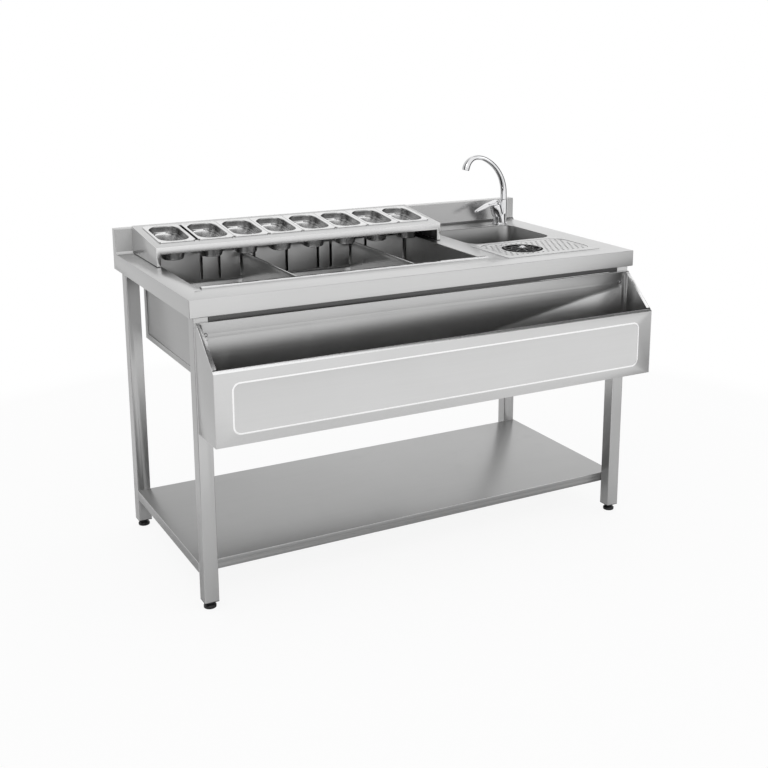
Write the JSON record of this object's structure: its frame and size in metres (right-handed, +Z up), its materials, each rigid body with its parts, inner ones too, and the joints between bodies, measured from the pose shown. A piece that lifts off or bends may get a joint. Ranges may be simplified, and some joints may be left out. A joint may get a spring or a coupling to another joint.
{
  "type": "bar station",
  "caption": "Stainless steel bar station with a divided ice well, a sloped garnish pan holder, a sink with a tap, a glass rinser, a bottle rail and an under shelf.",
  "frame": {"origin": "centre of the overall box at floor level", "axes": "+X along the worktop towards the sink's end, +Y towards the upstand and the wall, +Z up"},
  "size_m": [1.4, 0.8166, 1.0898],
  "materials": {
    "brushed_steel": "brushed along each sheet's length",
    "polished_steel": "bright, drawn and polished",
    "chrome": "mirror chrome",
    "black_plastic": "moulded, satin black",
    "seal_rubber": "matt black"
  },
  "bodies": {
    "station": {"worktop": "brushed_steel", "worktop_stiffener": "brushed_steel", "leg_front_left": "brushed_steel", "leg_front_right": "brushed_steel", "leg_rear_left": "brushed_steel", "leg_rear_right": "brushed_steel", "leg_plug_front_left": "black_plastic", "leg_plug_front_right": "black_plastic", "leg_plug_rear_left": "black_plastic", "leg_plug_rear_right": "black_plastic", "frame_tube_front": "brushed_steel", "frame_tube_rear": "brushed_steel", "frame_tube_left": "brushed_steel", "frame_tube_right": "brushed_steel", "shelf": "brushed_steel", "shelf_stiffener": "brushed_steel", "shelf_bolts": "brushed_steel", "well_tub": "brushed_steel", "well_base_frame": "brushed_steel", "well_front_strip": "polished_steel", "well_rear_guide": "brushed_steel", "well_drain": "polished_steel", "sink_bowl": "brushed_steel", "sink_waste": "polished_steel", "sink_waste_nut": "black_plastic", "rinser_basin": "brushed_steel", "rinser_valve": "chrome", "rinser_spring": "brushed_steel", "tap_body": "chrome", "tap_base_ring": "chrome", "tap_nut": "brushed_steel", "tap_cartridge": "black_plastic", "rail_screws": "polished_steel"},
    "speed_rail": {"speed_rail": "brushed_steel", "speed_rail_end_left": "brushed_steel", "speed_rail_end_right": "brushed_steel"},
    "pan_holder": {"pan_holder": "brushed_steel", "holder_seal": "seal_rubber"},
    "divider_left": {"divider_left": "brushed_steel"},
    "divider_right": {"divider_right": "brushed_steel"},
    "rinser_plate": {"rinser_plate": "polished_steel"},
    "rinser_button": {"rinser_star": "black_plastic", "rinser_nozzle": "chrome"},
    "sink_strainer": {"sink_strainer": "polished_steel"},
    "tap_spout": {"tap_spout": "chrome", "tap_aerator": "chrome"},
    "tap_bonnet": {"tap_bonnet": "chrome"},
    "tap_lever": {"tap_lever": "chrome"},
    "pan_1": {"pan_1": "polished_steel"},
    "pan_2": {"pan_2": "polished_steel"},
    "pan_3": {"pan_3": "polished_steel"},
    "pan_4": {"pan_4": "polished_steel"},
    "pan_5": {"pan_5": "polished_steel"},
    "pan_6": {"pan_6": "polished_steel"},
    "pan_7": {"pan_7": "polished_steel"},
    "pan_8": {"pan_8": "polished_steel"},
    "foot_front_left": {"foot_front_left": "black_plastic"},
    "foot_front_right": {"foot_front_right": "black_plastic"},
    "foot_rear_left": {"foot_rear_left": "black_plastic"},
    "foot_rear_right": {"foot_rear_right": "black_plastic"}
  },
  "joints": [
    {"name": "foot_front_left_thread", "type": "slide", "parent": "station", "child": "foot_front_left", "axis": [0, 0, -1], "range_m": [0, 0.02]},
    {"name": "foot_front_right_thread", "type": "slide", "parent": "station", "child": "foot_front_right", "axis": [0, 0, -1], "range_m": [0, 0.02]},
    {"name": "foot_rear_left_thread", "type": "slide", "parent": "station", "child": "foot_rear_left", "axis": [0, 0, -1], "range_m": [0, 0.02]},
    {"name": "foot_rear_right_thread", "type": "slide", "parent": "station", "child": "foot_rear_right", "axis": [0, 0, -1], "range_m": [0, 0.02]},
    {"name": "speed_rail_lift", "type": "slide", "parent": "station", "child": "speed_rail", "axis": [0, 0, 1], "range_m": [0, 0.011]},
    {"name": "pan_holder_lift", "type": "slide", "parent": "station", "child": "pan_holder", "axis": [0, 0, 1], "range_m": [0, 0.3]},
    {"name": "divider_left_lift", "type": "slide", "parent": "station", "child": "divider_left", "axis": [0, 0, 1], "range_m": [0, 0.24]},
    {"name": "divider_right_lift", "type": "slide", "parent": "station", "child": "divider_right", "axis": [0, 0, 1], "range_m": [0, 0.24]},
    {"name": "pan_1_lift", "type": "slide", "parent": "pan_holder", "child": "pan_1", "axis": [0, -0.1115, 0.9938], "range_m": [0, 0.09]},
    {"name": "pan_2_lift", "type": "slide", "parent": "pan_holder", "child": "pan_2", "axis": [0, -0.1115, 0.9938], "range_m": [0, 0.09]},
    {"name": "pan_3_lift", "type": "slide", "parent": "pan_holder", "child": "pan_3", "axis": [0, -0.1115, 0.9938], "range_m": [0, 0.09]},
    {"name": "pan_4_lift", "type": "slide", "parent": "pan_holder", "child": "pan_4", "axis": [0, -0.1115, 0.9938], "range_m": [0, 0.09]},
    {"name": "pan_5_lift", "type": "slide", "parent": "pan_holder", "child": "pan_5", "axis": [0, -0.1115, 0.9938], "range_m": [0, 0.09]},
    {"name": "pan_6_lift", "type": "slide", "parent": "pan_holder", "child": "pan_6", "axis": [0, -0.1115, 0.9938], "range_m": [0, 0.09]},
    {"name": "pan_7_lift", "type": "slide", "parent": "pan_holder", "child": "pan_7", "axis": [0, -0.1115, 0.9938], "range_m": [0, 0.09]},
    {"name": "pan_8_lift", "type": "slide", "parent": "pan_holder", "child": "pan_8", "axis": [0, -0.1115, 0.9938], "range_m": [0, 0.09]},
    {"name": "rinser_plate_lift", "type": "slide", "parent": "station", "child": "rinser_plate", "axis": [0, 0, 1], "range_m": [0, 0.08]},
    {"name": "rinser_press", "type": "slide", "parent": "station", "child": "rinser_button", "axis": [0, 0, -1], "range_m": [0, 0.008], "stiffness_N_per_m": 600, "springref_m": -0.01, "deforming": ["rinser_spring"]},
    {"name": "sink_strainer_lift", "type": "slide", "parent": "station", "child": "sink_strainer", "axis": [0, 0, 1], "range_m": [0, 0.05]},
    {"name": "tap_spout_swivel", "type": "hinge", "parent": "station", "child": "tap_spout", "pos_m": [0.622, 0.32135, 0.93], "axis": [0, 0, 1], "range_deg": [-30, 120]},
    {"name": "tap_lever_turn", "type": "hinge", "parent": "station", "child": "tap_bonnet", "pos_m": [0.59073, 0.32135, 0.90853], "axis": [-0.309, 0, 0.9511], "range_deg": [-20, 45]},
    {"name": "tap_lever_lift", "type": "hinge", "parent": "tap_bonnet", "child": "tap_lever", "pos_m": [0.59872, 0.32135, 0.92438], "axis": [0, 1, 0], "range_deg": [0, 22]}
  ],
  "couplings": [
    {"joint": "divider_left_lift", "follows": "pan_holder_lift", "ratio": 0.8},
    {"joint": "divider_right_lift", "follows": "pan_holder_lift", "ratio": 0.8}
  ]
}
